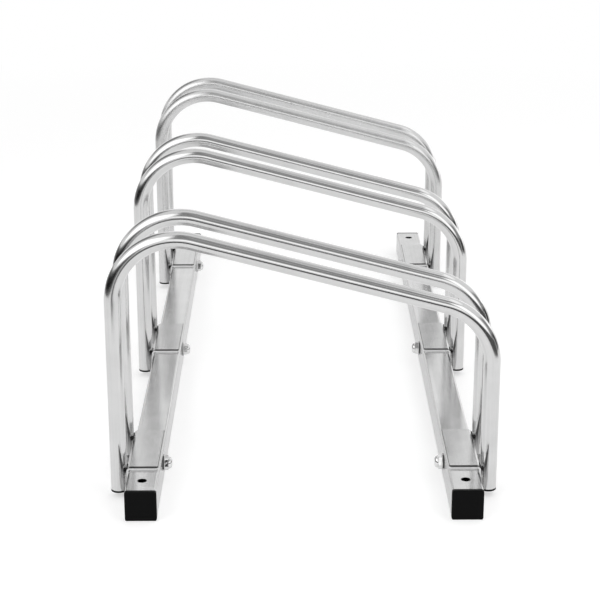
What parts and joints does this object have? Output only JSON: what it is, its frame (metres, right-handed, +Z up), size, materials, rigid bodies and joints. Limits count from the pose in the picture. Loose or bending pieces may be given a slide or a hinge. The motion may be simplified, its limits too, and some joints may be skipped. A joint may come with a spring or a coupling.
{
  "type": "bicycle floor rack",
  "caption": "Floor rack for bicycles: two square rails carry pairs of bent tube hoops with sloping bars, and each pair holds one wheel upright.",
  "frame": {"origin": "middle of the rack at floor level: halfway between the outer faces of the rail caps and halfway across the hoops", "axes": "+X across the rack, towards the low ends of the hoops' bars; +Y along the rails, away from the end that the picture shows nearest; +Z up"},
  "size_m": [0.371, 0.845, 0.265],
  "materials": {
    "hoop_tube": "bright zinc-plated steel tube, polished",
    "rail_steel": "satin zinc-plated square steel tube",
    "bracket_steel": "satin zinc-plated folded steel plate with weld beads",
    "fastener_steel": "bright zinc-plated steel fasteners",
    "cap_plastic": "black moulded plastic, fine satin",
    "plug_plastic": "black moulded plastic, fine satin"
  },
  "bodies": {
    "root": {"left_rail": "rail_steel", "right_rail": "rail_steel", "rail_cap_front_left": "cap_plastic", "rail_cap_front_right": "cap_plastic", "rail_cap_back_left": "cap_plastic", "rail_cap_back_right": "cap_plastic", "hoop_1": "hoop_tube", "hoop_2": "hoop_tube", "hoop_3": "hoop_tube", "hoop_4": "hoop_tube", "hoop_5": "hoop_tube", "hoop_6": "hoop_tube", "leg_plug_1_left": "plug_plastic", "leg_plug_1_right": "plug_plastic", "leg_plug_2_left": "plug_plastic", "leg_plug_2_right": "plug_plastic", "leg_plug_3_left": "plug_plastic", "leg_plug_3_right": "plug_plastic", "leg_plug_4_left": "plug_plastic", "leg_plug_4_right": "plug_plastic", "leg_plug_5_left": "plug_plastic", "leg_plug_5_right": "plug_plastic", "leg_plug_6_left": "plug_plastic", "leg_plug_6_right": "plug_plastic", "bracket_1_left": "bracket_steel", "bracket_1_right": "bracket_steel", "bracket_2_left": "bracket_steel", "bracket_2_right": "bracket_steel", "bracket_3_left": "bracket_steel", "bracket_3_right": "bracket_steel", "bolt_1_left": "fastener_steel", "bolt_1_right": "fastener_steel", "bolt_2_left": "fastener_steel", "bolt_2_right": "fastener_steel", "bolt_3_left": "fastener_steel", "bolt_3_right": "fastener_steel", "washer_1_left": "fastener_steel", "washer_1_right": "fastener_steel", "washer_2_left": "fastener_steel", "washer_2_right": "fastener_steel", "washer_3_left": "fastener_steel", "washer_3_right": "fastener_steel", "cap_nut_1_left": "fastener_steel", "cap_nut_1_right": "fastener_steel", "cap_nut_2_left": "fastener_steel", "cap_nut_2_right": "fastener_steel", "cap_nut_3_left": "fastener_steel", "cap_nut_3_right": "fastener_steel"}
  },
  "joints": []
}
